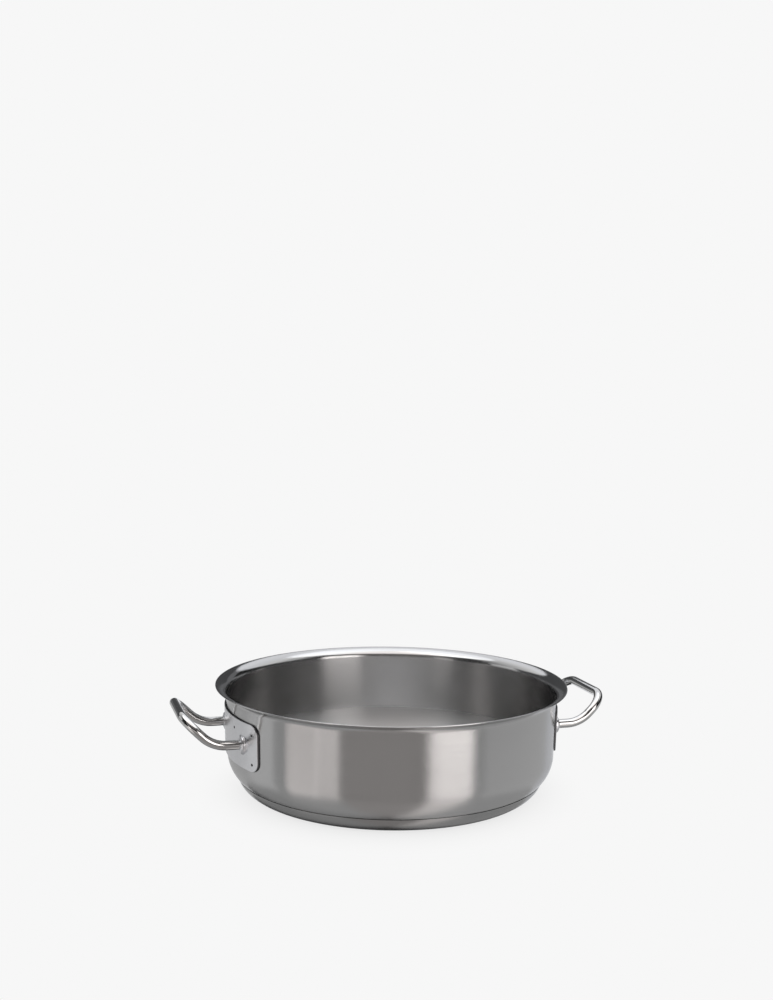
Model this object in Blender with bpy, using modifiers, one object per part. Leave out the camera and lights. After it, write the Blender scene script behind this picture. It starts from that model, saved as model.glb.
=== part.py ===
import math

import bmesh
import bpy

# Low casserole: a drawn steel pan with a flared pouring rim, a bonded three-layer base and two bent
# round-bar handles whose ends sit in raised bosses on curved plates. Lengths are metres. The handles
# lie along X and the base rests on Z = 0.

# Pan
PAN_RADIUS = 0.1410
PAN_HEIGHT = 0.0932
WALL_THICKNESS = 0.0010
CORNER_RADIUS = 0.0290
FLARE_OUT = 0.00915
FLARE_RISE = 0.0078
FLARE_TURN = math.radians(78.0)

# Base
CAP_THICKNESS = 0.0008
CAP_EDGE_RADIUS = 0.0185
CAP_INSIDE_WALL = 0.0078
CORE_THICKNESS = 0.0042

# Handle plates
PLATE_THICKNESS = 0.0014
PLATE_HALF_WIDTH = 0.0610
PLATE_HEIGHT = 0.0392
PLATE_CORNER_RADIUS = 0.0090

# Bosses and their sockets
BOSS_RADIUS = 0.0080
BOSS_REACH = 0.0022
BOSS_ROOT = 0.0080
BOSS_EDGE_CUT = 0.0003
SOCKET_DEPTH = 0.0016
SOCKET_WALL = 0.0011

# Handle bars
BAR_RADIUS = 0.0039
LEG_HEIGHT = 0.05675
HANDLE_HALF_WIDTH = 0.0386
BEND_BEYOND_WALL = 0.0197
REACH_BEYOND_WALL = 0.0420
BAR_RISE = 0.02245
RISE_BEND_RADIUS = 0.0271
CORNER_BEND_RADIUS = 0.0172

# Spot welds, which show as shallow pits in the plates
WELD_BALL_RADIUS = 0.0022
WELD_DEPTH = 0.00035
WELD_OUTER_OFFSET = 0.0538
WELD_INNER_OFFSET = 0.0237
WELDS_ABOVE_LEGS = 0.0109
WELDS_BELOW_LEGS = 0.0133

# Play between neighbouring pieces, and the excess of a cutter beyond what it cuts
GAP = 0.0003
CUTTER_EXCESS = 0.0100

# Facets
PAN_STEPS = 88
BOSS_STEPS = 24
WELD_STEPS = 10
BAR_BEVEL_STEPS = 6
CORNER_POINTS = 8
FLARE_POINTS = 7
CAP_EDGE_POINTS = 6
CORE_EDGE_POINTS = 3
BOSS_POINTS = 4
PLATE_CORNER_POINTS = 6
RISE_BEND_POINTS = 6
CORNER_BEND_POINTS = 7
SMOOTH_ANGLE = math.radians(30.0)
BAR_SMOOTH_ANGLE = math.radians(40.0)

# Sizes and places that follow from the ones above
core_bottom = CAP_THICKNESS + GAP
core_top = core_bottom + CORE_THICKNESS
shell_bottom = core_top + GAP
shell_corner_centre = (PAN_RADIUS - CORNER_RADIUS, shell_bottom + CORNER_RADIUS)
cap_edge_centre = (PAN_RADIUS - CAP_INSIDE_WALL - CAP_EDGE_RADIUS, CAP_EDGE_RADIUS)
cap_inner_edge_radius = CAP_EDGE_RADIUS - CAP_THICKNESS
core_edge_radius = cap_inner_edge_radius - GAP
plate_inner_radius = PAN_RADIUS + GAP
plate_outer_radius = plate_inner_radius + PLATE_THICKNESS
boss_end = math.sqrt(plate_outer_radius ** 2 - HANDLE_HALF_WIDTH ** 2) + BOSS_REACH
bar_end = boss_end - SOCKET_DEPTH
socket_radius = BAR_RADIUS + GAP
boss_tip_radius = socket_radius + SOCKET_WALL


def make_collection(name):
    """New collection in the scene."""
    collection = bpy.data.collections.new(name)
    bpy.context.scene.collection.children.link(collection)
    return collection


def make_material(name, colour, roughness):
    """Metal in one colour."""
    material = bpy.data.materials.new(name)
    material.use_nodes = True
    material.diffuse_color = (*colour, 1.0)
    shader = material.node_tree.nodes["Principled BSDF"]
    shader.inputs["Base Color"].default_value = (*colour, 1.0)
    shader.inputs["Roughness"].default_value = roughness
    shader.inputs["Metallic"].default_value = 1.0
    return material


def satin_steel(name):
    """Brushed steel of the pan."""
    return make_material(name, (0.60, 0.59, 0.575), 0.32)


def base_steel(name):
    """Slightly darker brushed steel of the base cap."""
    return make_material(name, (0.52, 0.51, 0.50), 0.30)


def plain_aluminium(name):
    """Rolled aluminium of the hidden core."""
    return make_material(name, (0.72, 0.72, 0.73), 0.45)


def plate_steel(name):
    """Finely polished steel of the handle plates."""
    return make_material(name, (0.58, 0.58, 0.59), 0.22)


def bright_steel(name):
    """Mirror-like steel of the handle bars."""
    return make_material(name, (0.64, 0.64, 0.65), 0.12)


def add_part(name, mesh, material, smooth_angle=SMOOTH_ANGLE):
    """Object of the finished part, smooth where its faces turn gently."""
    mesh.materials.append(material)
    mesh.shade_smooth()
    mesh.set_sharp_from_angle(angle=smooth_angle)
    item = bpy.data.objects.new(name, mesh)
    parts.objects.link(item)
    return item


def add_cutter(name, mesh):
    """Helper shape that is never shown."""
    item = bpy.data.objects.new(name, mesh)
    cutters.objects.link(item)
    item.hide_render = True
    item.display_type = "WIRE"
    return item


def baked(item):
    """Mesh of an object as it is evaluated, in world space."""
    bpy.context.view_layer.update()
    graph = bpy.context.evaluated_depsgraph_get()
    mesh = bpy.data.meshes.new_from_object(item.evaluated_get(graph))
    mesh.transform(item.matrix_world)
    return mesh


def baked_and_welded(data, rotation=(0.0, 0.0, 0.0), location=(0.0, 0.0, 0.0), modifiers=()):
    """Closed mesh of a curve or mesh after its modifiers, laid at a place."""
    item = bpy.data.objects.new(data.name, data)
    cutters.objects.link(item)
    item.rotation_euler = rotation
    item.location = location
    for add_modifier in modifiers:
        add_modifier(item)
    mesh = baked(item)
    bpy.data.objects.remove(item, do_unlink=True)
    work = bmesh.new()
    work.from_mesh(mesh)
    bmesh.ops.remove_doubles(work, verts=work.verts, dist=0.000005)
    bmesh.ops.recalc_face_normals(work, faces=work.faces)
    work.to_mesh(mesh)
    work.free()
    return mesh


def turned(name, profile, steps, rotation=(0.0, 0.0, 0.0), location=(0.0, 0.0, 0.0)):
    """Solid of a profile in the XZ plane turned once round Z, from the axis back to the axis."""
    outline = bpy.data.meshes.new(name)
    points = [(radius, 0.0, height) for radius, height in profile]
    outline.from_pydata(points, [(index, index + 1) for index in range(len(points) - 1)], [])

    def add_screw(item):
        screw = item.modifiers.new("turn", "SCREW")
        screw.axis = "Z"
        screw.angle = math.tau
        screw.steps = steps
        screw.render_steps = steps
        screw.use_merge_vertices = True
        screw.merge_threshold = 0.00001

    return baked_and_welded(outline, rotation, location, [add_screw])


def drum(name, radius, low, high, steps, rotation=(0.0, 0.0, 0.0), location=(0.0, 0.0, 0.0)):
    """Plain cylinder along Z between two heights."""
    work = bmesh.new()
    bmesh.ops.create_cone(
        work, cap_ends=True, segments=steps, radius1=radius, radius2=radius, depth=high - low
    )
    bmesh.ops.translate(work, verts=work.verts, vec=(0.0, 0.0, (low + high) / 2.0))
    mesh = bpy.data.meshes.new(name)
    work.to_mesh(mesh)
    work.free()
    return baked_and_welded(mesh, rotation, location)


def combine(item, operation, name, mesh):
    """Exact Boolean of an object with a helper shape."""
    change = item.modifiers.new(name, "BOOLEAN")
    change.operation = operation
    change.solver = "EXACT"
    change.object = add_cutter(name, mesh)


def arc(centre, radius, start, end, count):
    """Points of a circular arc between two angles in degrees, both ends included."""
    points = []
    for index in range(count + 1):
        turn = math.radians(start + (end - start) * index / count)
        points.append((centre[0] + radius * math.cos(turn), centre[1] + radius * math.sin(turn)))
    return points


def direction(start, end):
    """Unit vector in a plane from one point to another."""
    length = math.dist(start, end)
    return (end[0] - start[0]) / length, (end[1] - start[1]) / length


def sheet_profile(middle, thickness, tip_turns):
    """Outline of a sheet of even thickness along a middle line from the axis to a free end.

    It starts on the axis on the upper side, rounds the free end through the given turns in degrees,
    and ends on the axis on the lower side.
    """
    half = thickness / 2.0
    last = len(middle) - 1
    upper = [(0.0, middle[0][1] + half)]
    lower = [(0.0, middle[0][1] - half)]
    for index in range(1, last + 1):
        radius, height = middle[index]
        along = direction(middle[index - 1], middle[min(index + 1, last)])
        upper.append((radius - along[1] * half, height + along[0] * half))
        lower.append((radius + along[1] * half, height - along[0] * half))
    ahead = direction(middle[last - 1], middle[last])
    tip = []
    for turn in tip_turns:
        out = half * math.sin(math.radians(turn))
        side = half * math.cos(math.radians(turn))
        tip.append((
            middle[last][0] + ahead[0] * out - ahead[1] * side,
            middle[last][1] + ahead[1] * out + ahead[0] * side,
        ))
    return upper + tip + lower[::-1]


def pan_middle_line():
    """Middle of the pan's sheet from the centre of the floor to the tip of the flare."""
    half = WALL_THICKNESS / 2.0
    radius = PAN_RADIUS - half
    bend = CORNER_RADIUS - half
    flare_start = PAN_HEIGHT - half - FLARE_RISE
    flare_width = FLARE_OUT / (1.0 - math.cos(FLARE_TURN))
    flare_height = FLARE_RISE / math.sin(FLARE_TURN)
    line = [(0.0, shell_bottom + half)]
    line += arc((radius - bend, shell_bottom + half + bend), bend, -90.0, 0.0, CORNER_POINTS)
    for index in range(FLARE_POINTS + 1):
        turn = FLARE_TURN * index / FLARE_POINTS
        out = flare_width * (1.0 - math.cos(turn))
        line.append((radius + out, flare_start + flare_height * math.sin(turn)))
    return line


def circles_meeting(one, one_radius, two, two_radius):
    """The point farther from the axis of the two in which two circles meet."""
    apart = math.dist(one, two)
    towards = direction(one, two)
    run = (apart ** 2 + one_radius ** 2 - two_radius ** 2) / (2.0 * apart)
    aside = math.sqrt(one_radius ** 2 - run ** 2)
    meetings = []
    for side in (aside, -aside):
        radius = one[0] + towards[0] * run - towards[1] * side
        height = one[1] + towards[1] * run + towards[0] * side
        meetings.append((radius, height))
    return max(meetings)


def cap_edge_arc(radius, end, count):
    """Points of the rounded edge of the base, from its flat underside up to an end point."""
    turn = math.degrees(math.atan2(end[1] - cap_edge_centre[1], end[0] - cap_edge_centre[0]))
    return arc(cap_edge_centre, radius, -90.0, turn, count)


def add(one, two):
    """Sum of two points."""
    return tuple(a + b for a, b in zip(one, two))


def scale(one, factor):
    """Point or vector times a number."""
    return tuple(a * factor for a in one)


def unit(start, end):
    """Unit vector in space from one point to another."""
    return scale(add(end, scale(start, -1.0)), 1.0 / math.dist(start, end))


def corner_turn(corners, index):
    """Unit vectors from a corner back and ahead along the path, and the angle between them."""
    back = unit(corners[index], corners[index - 1])
    ahead = unit(corners[index], corners[index + 1])
    return back, ahead, math.acos(sum(a * b for a, b in zip(back, ahead)))


def fitting_share(corners, radii):
    """Share of the bend radii, at most the whole, at which no two bends meet on a straight run."""
    runs = [0.0]
    for index, radius in enumerate(radii, start=1):
        runs.append(radius / math.tan(corner_turn(corners, index)[2] / 2.0))
    runs.append(0.0)
    share = 1.0
    for index in range(len(corners) - 1):
        room = math.dist(corners[index], corners[index + 1])
        share = min(share, 0.98 * room / (runs[index] + runs[index + 1]))
    return share


def rounded_path(corners, radii, counts):
    """Straight runs through the corners, with each inner corner rounded to its own radius."""
    share = fitting_share(corners, radii)
    path = [corners[0]]
    for index, count in enumerate(counts, start=1):
        corner = corners[index]
        back, ahead, opening = corner_turn(corners, index)
        radius = radii[index - 1] * share
        run = radius / math.tan(opening / 2.0)
        inward = unit((0.0, 0.0, 0.0), add(back, ahead))
        centre = add(corner, scale(inward, radius / math.sin(opening / 2.0)))
        first = add(add(corner, scale(back, run)), scale(centre, -1.0))
        second = add(add(corner, scale(ahead, run)), scale(centre, -1.0))
        sweep = math.pi - opening
        for step in range(count + 1):
            turn = sweep * step / count
            from_first = scale(first, math.sin(sweep - turn) / math.sin(sweep))
            from_second = scale(second, math.sin(turn) / math.sin(sweep))
            path.append(add(centre, add(from_first, from_second)))
    path.append(corners[-1])
    return path


def handle_path():
    """Middle line of a bar: out of one boss, up, across and back into the other boss."""
    bend = PAN_RADIUS + BEND_BEYOND_WALL
    reach = PAN_RADIUS + REACH_BEYOND_WALL
    top = LEG_HEIGHT + BAR_RISE
    near_half = [
        (bar_end, -HANDLE_HALF_WIDTH, LEG_HEIGHT),
        (bend, -HANDLE_HALF_WIDTH, LEG_HEIGHT),
        (reach, -HANDLE_HALF_WIDTH, top),
    ]
    far_half = [(out, -across, height) for out, across, height in reversed(near_half)]
    radii = [RISE_BEND_RADIUS, CORNER_BEND_RADIUS, CORNER_BEND_RADIUS, RISE_BEND_RADIUS]
    counts = [RISE_BEND_POINTS, CORNER_BEND_POINTS, CORNER_BEND_POINTS, RISE_BEND_POINTS]
    return rounded_path(near_half + far_half, radii, counts)


def bar_mesh(name):
    """Round bar along the handle path with closed ends."""
    curve = bpy.data.curves.new(name, "CURVE")
    curve.dimensions = "3D"
    curve.bevel_depth = BAR_RADIUS
    curve.bevel_resolution = BAR_BEVEL_STEPS
    curve.use_fill_caps = True
    path = handle_path()
    line = curve.splines.new("POLY")
    line.points.add(len(path) - 1)
    for point, place in zip(line.points, path):
        point.co = (*place, 1.0)
    return baked_and_welded(curve)


def plate_prism(name):
    """Rounded rectangle pushed through the wall along the handle's direction."""
    across = PLATE_HALF_WIDTH - PLATE_CORNER_RADIUS
    upward = PLATE_HEIGHT / 2.0 - PLATE_CORNER_RADIUS
    points = []
    for quarter, (side, level) in enumerate(((1, 1), (-1, 1), (-1, -1), (1, -1))):
        start = 90.0 * quarter
        centre = (side * across, level * upward)
        points += arc(centre, PLATE_CORNER_RADIUS, start, start + 90.0, PLATE_CORNER_POINTS)
    curve = bpy.data.curves.new(name, "CURVE")
    curve.dimensions = "2D"
    curve.fill_mode = "BOTH"
    curve.extrude = (plate_outer_radius - math.sqrt(plate_inner_radius ** 2 - PLATE_HALF_WIDTH ** 2)
                     + 2.0 * CUTTER_EXCESS)
    line = curve.splines.new("POLY")
    line.points.add(len(points) - 1)
    for point, place in zip(line.points, points):
        point.co = (*place, 0.0, 1.0)
    line.use_cyclic_u = True
    upright = (math.pi / 2.0, 0.0, math.pi / 2.0)
    return baked_and_welded(curve, upright, (plate_outer_radius, 0.0, LEG_HEIGHT))


def lying_on_leg(offset):
    """Rotation and location that lay a shape made round Z along a handle leg."""
    return (0.0, math.pi / 2.0, 0.0), (0.0, offset, LEG_HEIGHT)


def boss_mesh(name, offset):
    """Boss that swells from the tip round the bar down into the plate."""
    swell = BOSS_RADIUS - boss_tip_radius
    shoulder = boss_end - BOSS_EDGE_CUT
    profile = [(0.0, shoulder - BOSS_REACH - BOSS_ROOT), (BOSS_RADIUS, shoulder - BOSS_REACH - BOSS_ROOT)]
    for index in range(BOSS_POINTS + 1):
        turn = math.pi / 2.0 * index / BOSS_POINTS
        radius = BOSS_RADIUS - swell * (1.0 - math.cos(turn))
        profile.append((radius, shoulder - BOSS_REACH * (1.0 - math.sin(turn))))
    profile.append((boss_tip_radius - BOSS_EDGE_CUT, boss_end))
    profile.append((0.0, boss_end))
    return turned(name, profile, BOSS_STEPS, *lying_on_leg(offset))


def socket_mesh(name, offset):
    """Blind bore that takes the end of the bar."""
    placement = lying_on_leg(offset)
    return drum(name, socket_radius, bar_end - GAP, boss_end + CUTTER_EXCESS, BOSS_STEPS, *placement)


def weld_mesh(name, offset, above_legs):
    """Ball that sinks one weld pit into the plate's outer face."""
    depth = math.sqrt(plate_outer_radius ** 2 - offset ** 2)
    lift = 1.0 + (WELD_BALL_RADIUS - WELD_DEPTH) / plate_outer_radius
    work = bmesh.new()
    bmesh.ops.create_uvsphere(
        work, u_segments=WELD_STEPS, v_segments=WELD_STEPS, radius=WELD_BALL_RADIUS
    )
    mesh = bpy.data.meshes.new(name)
    work.to_mesh(mesh)
    work.free()
    rotation = (0.0, math.pi / 2.0, math.atan2(offset, depth))
    location = (depth * lift, offset * lift, LEG_HEIGHT + above_legs)
    return baked_and_welded(mesh, rotation, location)


def plate_mesh(side):
    """Curved plate with two bosses, their sockets and the weld pits, on the +X side."""
    low = LEG_HEIGHT - PLATE_HEIGHT / 2.0 - CUTTER_EXCESS
    high = LEG_HEIGHT + PLATE_HEIGHT / 2.0 + CUTTER_EXCESS
    block = add_cutter(side + "_block", drum(side + "_block", plate_outer_radius, low, high, PAN_STEPS))
    combine(block, "INTERSECT", side + "_outline", plate_prism(side + "_outline"))
    for number, offset in enumerate((-HANDLE_HALF_WIDTH, HANDLE_HALF_WIDTH)):
        name = f"{side}_boss_{number}"
        combine(block, "UNION", name, boss_mesh(name, offset))
    wall = drum(side + "_wall", plate_inner_radius, low - CUTTER_EXCESS, high + CUTTER_EXCESS, PAN_STEPS)
    combine(block, "DIFFERENCE", side + "_wall", wall)
    for number, offset in enumerate((-HANDLE_HALF_WIDTH, HANDLE_HALF_WIDTH)):
        name = f"{side}_socket_{number}"
        combine(block, "DIFFERENCE", name, socket_mesh(name, offset))
    offsets = (-WELD_OUTER_OFFSET, -WELD_INNER_OFFSET, WELD_INNER_OFFSET, WELD_OUTER_OFFSET)
    for row, above_legs in enumerate((WELDS_ABOVE_LEGS, -WELDS_BELOW_LEGS)):
        for number, offset in enumerate(offsets):
            name = f"{side}_weld_{row}_{number}"
            combine(block, "DIFFERENCE", name, weld_mesh(name, offset, above_legs))
    return baked(block)


def make_pan_body():
    """Drawn shell of the pan."""
    profile = sheet_profile(pan_middle_line(), WALL_THICKNESS, (45.0, 90.0, 135.0))
    add_part("pan_body", turned("pan_body", profile, PAN_STEPS), satin_steel("pan_body_steel"))


def make_base_core():
    """Aluminium disc between the pan and the cap."""
    drop = cap_edge_centre[1] - core_top
    upper_edge = (cap_edge_centre[0] + math.sqrt(core_edge_radius ** 2 - drop ** 2), core_top)
    edge = cap_edge_arc(core_edge_radius, upper_edge, CORE_EDGE_POINTS)
    profile = [(0.0, core_top)] + edge[::-1] + [(0.0, core_bottom)]
    mesh = turned("base_core", profile, PAN_STEPS)
    add_part("base_core", mesh, plain_aluminium("base_core_aluminium"))


def make_base_cap():
    """Steel cup that closes the base, with its upper edge cut to the curve of the shell."""
    clear_of_shell = CORNER_RADIUS + GAP
    outer = circles_meeting(cap_edge_centre, CAP_EDGE_RADIUS, shell_corner_centre, clear_of_shell)
    inner = circles_meeting(cap_edge_centre, cap_inner_edge_radius, shell_corner_centre, clear_of_shell)
    profile = [(0.0, CAP_THICKNESS)]
    profile += cap_edge_arc(cap_inner_edge_radius, inner, CAP_EDGE_POINTS)
    profile += cap_edge_arc(CAP_EDGE_RADIUS, outer, CAP_EDGE_POINTS)[::-1]
    profile.append((0.0, 0.0))
    add_part("base_cap", turned("base_cap", profile, PAN_STEPS), base_steel("base_cap_steel"))


def make_handle(side, turn):
    """Plate and bar of one handle, turned to its side of the pan."""
    name = side + "_handle_plate"
    plate = add_part(name, plate_mesh(side), plate_steel(name + "_steel"))
    plate.rotation_euler = (0.0, 0.0, turn)
    name = side + "_handle_bar"
    bar = add_part(name, bar_mesh(name), bright_steel(name + "_steel"), BAR_SMOOTH_ANGLE)
    bar.rotation_euler = (0.0, 0.0, turn)


for old in list(bpy.data.objects):
    bpy.data.objects.remove(old, do_unlink=True)

parts = make_collection("saucepan")
cutters = make_collection("cutters")

make_pan_body()
make_base_core()
make_base_cap()
make_handle("left", math.pi)
make_handle("right", 0.0)
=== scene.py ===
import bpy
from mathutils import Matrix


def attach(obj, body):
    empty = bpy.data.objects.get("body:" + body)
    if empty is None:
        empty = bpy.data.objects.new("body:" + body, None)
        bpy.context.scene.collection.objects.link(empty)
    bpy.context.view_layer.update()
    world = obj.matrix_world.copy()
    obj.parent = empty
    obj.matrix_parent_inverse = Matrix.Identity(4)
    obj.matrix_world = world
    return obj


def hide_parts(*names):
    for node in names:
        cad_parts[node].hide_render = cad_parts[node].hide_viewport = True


bl_info = {
    "name": "Low Casserole Pan",
    "version": (1, 0, 0),
    "blender": (4, 5, 0),
    "location": "3D View > Sidebar > Pan",
    "description": "Dresses a low steel casserole pan's solids with fine shapes and brushed steel",
    "category": "Add Mesh",
}

from functools import partialmethod
from math import atan2, ceil, cos, degrees, dist, hypot, pi, radians, sin, sqrt, tan, tau

import bmesh
import bpy
from mathutils import Matrix, Vector
from mathutils.geometry import delaunay_2d_cdt

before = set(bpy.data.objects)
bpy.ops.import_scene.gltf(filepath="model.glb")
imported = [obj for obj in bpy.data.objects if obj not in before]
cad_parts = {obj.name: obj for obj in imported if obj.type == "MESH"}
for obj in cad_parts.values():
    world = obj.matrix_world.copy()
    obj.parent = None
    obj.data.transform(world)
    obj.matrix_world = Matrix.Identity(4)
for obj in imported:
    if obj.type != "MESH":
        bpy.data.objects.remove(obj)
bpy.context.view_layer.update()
BODY = "root"
HANDLES = ("left", "right")
SIDES = (-1.0, 1.0)


# Numbers of nodes as plain expressions

NODES_IN_ROW = 12
NODE_WIDTH, NODE_HEIGHT = 220.0, 260.0


class Value:
    """Number from a node's socket that can stand in a sum or a product."""

    def __init__(self, graph, socket):
        self.graph = graph
        self.socket = socket

    def calculate(self, operation, *others):
        values = dict(enumerate((self, *others)))
        return self.graph.add("ShaderNodeMath", {"operation": operation}, values)

    def reflected(self, operation, first):
        return self.graph.add("ShaderNodeMath", {"operation": operation}, {0: first, 1: self})

    __add__, __radd__ = partialmethod(calculate, "ADD"), partialmethod(reflected, "ADD")
    __sub__, __rsub__ = partialmethod(calculate, "SUBTRACT"), partialmethod(reflected, "SUBTRACT")
    __mul__, __rmul__ = partialmethod(calculate, "MULTIPLY"), partialmethod(reflected, "MULTIPLY")
    __truediv__, __rtruediv__ = (
        partialmethod(calculate, "DIVIDE"), partialmethod(reflected, "DIVIDE")
    )
    rounded = partialmethod(calculate, "ROUND")
    sine = partialmethod(calculate, "SINE")
    cosine = partialmethod(calculate, "COSINE")
    at_least = partialmethod(calculate, "MAXIMUM")

    def swing(self, amount):
        """This number, which lies between 0 and 1, as a swing round zero."""
        return (self - 0.5) * amount

    def other(self, name):
        """Another output of the same node."""
        return Value(self.graph, self.socket.node.outputs[name])

    def between(self, low, high, result_low, result_high):
        """Smooth step of this number from one range to another."""
        values = {"Value": self, "From Min": low, "From Max": high}
        values |= {"To Min": result_low, "To Max": result_high}
        return self.graph.add("ShaderNodeMapRange", {"interpolation_type": "SMOOTHSTEP"}, values)


class Graph:
    """Node tree whose nodes are added in one way."""

    def __init__(self, tree, owner=None):
        self.tree = tree
        self.owner = owner

    def add(self, kind, settings=None, values=None, output=0):
        """New node of a kind: its settings first, then the values or links of its inputs."""
        row, column = divmod(len(self.tree.nodes), NODES_IN_ROW)
        node = self.tree.nodes.new(kind)
        node.location = (NODE_WIDTH * column, -NODE_HEIGHT * row)
        for name, setting in (settings or {}).items():
            setattr(node, name, setting)
        for name, value in (values or {}).items():
            if isinstance(value, Value):
                self.tree.links.new(value.socket, node.inputs[name])
            else:
                node.inputs[name].default_value = value
        return Value(self, node.outputs[output]) if node.outputs else None

    def mixed(self, share, one, two):
        """Colour between two colours."""
        settings = {"data_type": "RGBA", "clamp_factor": True}
        return self.add("ShaderNodeMix", settings, {0: share, 6: one, 7: two}, output=2)

    def vector(self, x, y, z):
        return self.add("ShaderNodeCombineXYZ", None, {"X": x, "Y": y, "Z": z})

    def split(self, vector):
        """X of a vector; Y and Z are other outputs of the same node."""
        return self.add("ShaderNodeSeparateXYZ", None, {0: vector})

    def place(self):
        """Place on the object."""
        return self.add("ShaderNodeTexCoord", output=3)

    def noise(self, place, scale, detail):
        values = {"Vector": place, "Scale": scale, "Detail": detail}
        return self.add("ShaderNodeTexNoise", None, values)

    def bump(self, strength, distance, height):
        values = {"Strength": strength, "Distance": distance, "Height": height}
        return self.add("ShaderNodeBump", None, values)

    def metal(self, colour, roughness, bump, constants=None):
        """Ends a material's tree in metal and gives the material."""
        values = {"Base Color": colour, "Metallic": 1.0, "Roughness": roughness, "Normal": bump}
        values |= constants or {}
        return self.surface(self.add("ShaderNodeBsdfPrincipled", None, values))

    def surface(self, shader):
        self.add("ShaderNodeOutputMaterial", None, {"Surface": shader})
        return self.owner


# Steel

# Length and width of the brushing's lines, and their height
FINE_LINES = (0.0150, 0.00013)
COARSE_LINES = (0.0450, 0.00150)
LINE_HEIGHT = 0.000016
# Widths of the passages to the polished lip and to the satin inside
LIP_BLEND = 0.0035
SATIN_BLEND = 0.014


def emptied(owner):
    """Graph of a material or world that starts without nodes."""
    owner.use_nodes = True
    owner.node_tree.nodes.clear()
    return Graph(owner.node_tree, owner)


def new_material(name):
    return emptied(bpy.data.materials.new(name))


def shaded(colour, factor):
    """Darker or lighter colour, with its alpha."""
    return (*(min(1.0, part * factor) for part in colour), 1.0)


def brushed_steel(name, finish, stretch, zoned=False):
    """Steel with fine lines that follow the turning of the piece.

    Its UV map holds the turn and the distance along the section in metres. A zoned piece has a
    polished lip, and its floor and corner inside are satin.
    """
    graph = new_material(name)
    place = graph.place()
    spot = graph.split(place)
    along = graph.split(graph.add("ShaderNodeUVMap", {"uv_map": "UVMap"})).other("Y")

    def lines(length, width):
        stretched = graph.vector(spot / length, spot.other("Y") / length, along / width)
        return graph.noise(stretched, scale=1.0, detail=2.0)

    fine, coarse = lines(*FINE_LINES), lines(*COARSE_LINES)
    cloud = graph.noise(place, scale=22.0, detail=3.0)
    tone = fine.swing(0.10) + coarse.swing(0.10) + cloud.swing(0.05)
    base = graph.mixed(tone + 0.5, shaded(finish.steel, 0.72), shaded(finish.steel, 1.28))
    rough = finish.roughness
    if zoned:
        lip, satin_end = finish.height - finish.flare_rise, finish.satin_end
        lip_change = finish.lip_roughness - finish.roughness
        satin_change = finish.satin_roughness - finish.roughness
        rough = rough + spot.other("Z").between(lip, lip + LIP_BLEND, 0.0, lip_change)
        rough = rough + along.between(satin_end - SATIN_BLEND, satin_end, satin_change, 0.0)
    rough = rough + fine.swing(0.06) + coarse.swing(0.04) + cloud.swing(0.03)
    bump = graph.bump(strength=1.0, distance=LINE_HEIGHT, height=fine + coarse * 0.3)
    return graph.metal(base, rough, bump, {"Anisotropic": stretch, "Anisotropic Rotation": 0.25})


def polished_steel(name, colour, roughness, haze):
    """Polished steel with a faint uneven haze."""
    graph = new_material(name)
    place = graph.place()
    cloud = graph.noise(place, scale=60.0, detail=4.0)
    grain = graph.noise(place, scale=900.0, detail=2.0)
    base = graph.mixed(cloud, shaded(colour, 0.90), shaded(colour, 1.10))
    rough = roughness + cloud.swing(haze) + grain.swing(haze)
    bump = graph.bump(strength=0.15, distance=0.00001, height=cloud + grain)
    return graph.metal(base, rough, bump)


def rolled_aluminium(name):
    """Dull rolled aluminium of the layer inside the base."""
    graph = new_material(name)
    spot = graph.split(graph.place())
    lines = graph.vector(spot / 0.03, spot.other("Y") / 0.0006, spot.other("Z") / 0.0006)
    rolled = graph.noise(lines, scale=1.0, detail=3.0)
    base = graph.mixed(rolled, (0.66, 0.66, 0.67, 1.0), (0.80, 0.80, 0.81, 1.0))
    bump = graph.bump(strength=0.3, distance=0.00002, height=rolled)
    return graph.metal(base, 0.38 + rolled * 0.16, bump)


def scorched_steel(name):
    """Spot weld: steel that heat has darkened, a little unevenly."""
    graph = new_material(name)
    cloud = graph.noise(graph.place(), scale=2600.0, detail=3.0)
    base = graph.mixed(cloud, (0.006, 0.005, 0.005, 1.0), (0.028, 0.025, 0.022, 1.0))
    bump = graph.bump(strength=0.4, distance=0.00003, height=cloud)
    return graph.metal(base, 0.50 + cloud * 0.2, bump, {"Metallic": 0.6})


# Geometry Nodes trees

MARK_SEGMENTS, MARK_RINGS = 20, 12


def new_geometry_tree(name, **inputs):
    """Geometry tree with named inputs and a steel; its graph and the value of its input node."""
    tree = bpy.data.node_groups.new(name, "GeometryNodeTree")
    for label, kind in {"Geometry": "Geometry", **inputs, "Steel": "Material"}.items():
        tree.interface.new_socket(label, in_out="INPUT", socket_type="NodeSocket" + kind)
    tree.interface.new_socket("Geometry", in_out="OUTPUT", socket_type="NodeSocketGeometry")
    graph = Graph(tree)
    return graph, graph.add("NodeGroupInput")


def end_tree(graph, geometry, start):
    """Realized geometry with its steel as the tree's result."""
    real = graph.add("GeometryNodeRealizeInstances", None, {"Geometry": geometry})
    values = {"Geometry": real, "Material": start.other("Steel")}
    dressed = graph.add("GeometryNodeSetMaterial", None, values)
    graph.add("NodeGroupOutput", None, {"Geometry": dressed})
    return graph.tree


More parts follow.
